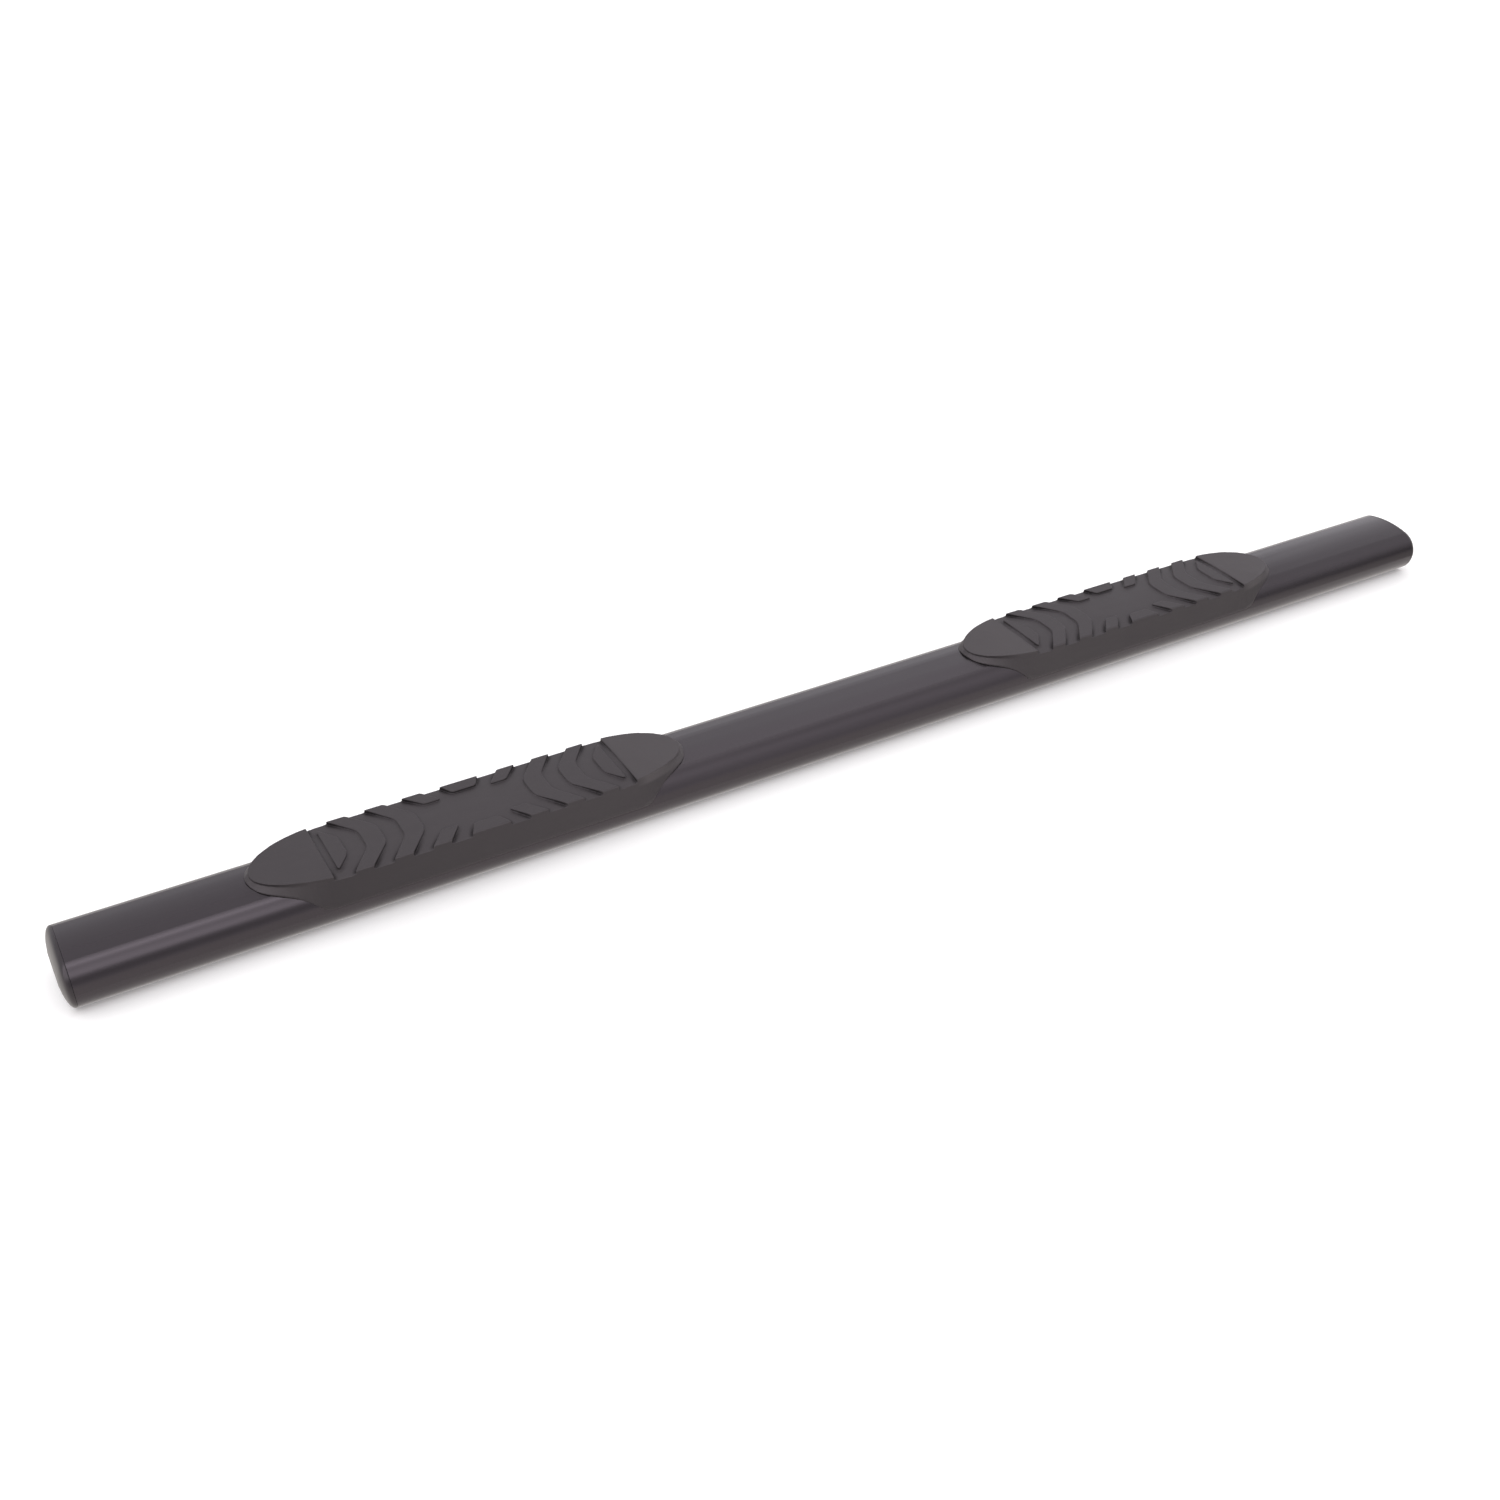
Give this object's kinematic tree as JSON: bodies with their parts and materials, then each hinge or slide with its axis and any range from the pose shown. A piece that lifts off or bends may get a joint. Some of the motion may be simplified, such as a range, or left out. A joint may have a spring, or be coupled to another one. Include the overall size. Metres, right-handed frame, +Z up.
{
  "type": "running board",
  "caption": "Straight oval-tube running board with moulded chevron step pads, crowned end caps and threaded bracket stations under the tube.",
  "frame": {"origin": "middle of the bar's length and width, on the tube's flat underside", "axes": "+X along the bar from its front end to its rear end, +Y towards the vehicle, +Z up, with the step pads on top"},
  "size_m": [2.3264, 0.1346, 0.0872],
  "materials": {
    "powder_coat": "semi-gloss black powder coat over steel",
    "cap_plastic": "satin moulded black",
    "pad_plastic": "matt grained black, moulded",
    "bare_steel": "zinc plated",
    "black_steel": "black zinc",
    "nylon": "natural nylon",
    "foam": "closed-cell foam",
    "tape": "grey acrylic foam tape"
  },
  "bodies": {
    "root": {"oval_tube": "powder_coat", "front_end_cap": "cap_plastic", "rear_end_cap": "cap_plastic", "front_cap_screw": "black_steel", "rear_cap_screw": "black_steel", "front_nut_plate": "bare_steel", "front_weld_nuts": "bare_steel", "middle_nut_plate": "bare_steel", "middle_weld_nuts": "bare_steel", "rear_nut_plate": "bare_steel", "rear_weld_nuts": "bare_steel", "front_step_pad": "pad_plastic", "front_pad_clips": "nylon", "front_clip_seals": "foam", "front_pad_foam": "foam", "front_skirt_tape": "tape", "rear_step_pad": "pad_plastic", "rear_pad_clips": "nylon", "rear_clip_seals": "foam", "rear_pad_foam": "foam", "rear_skirt_tape": "tape"}
  },
  "joints": []
}
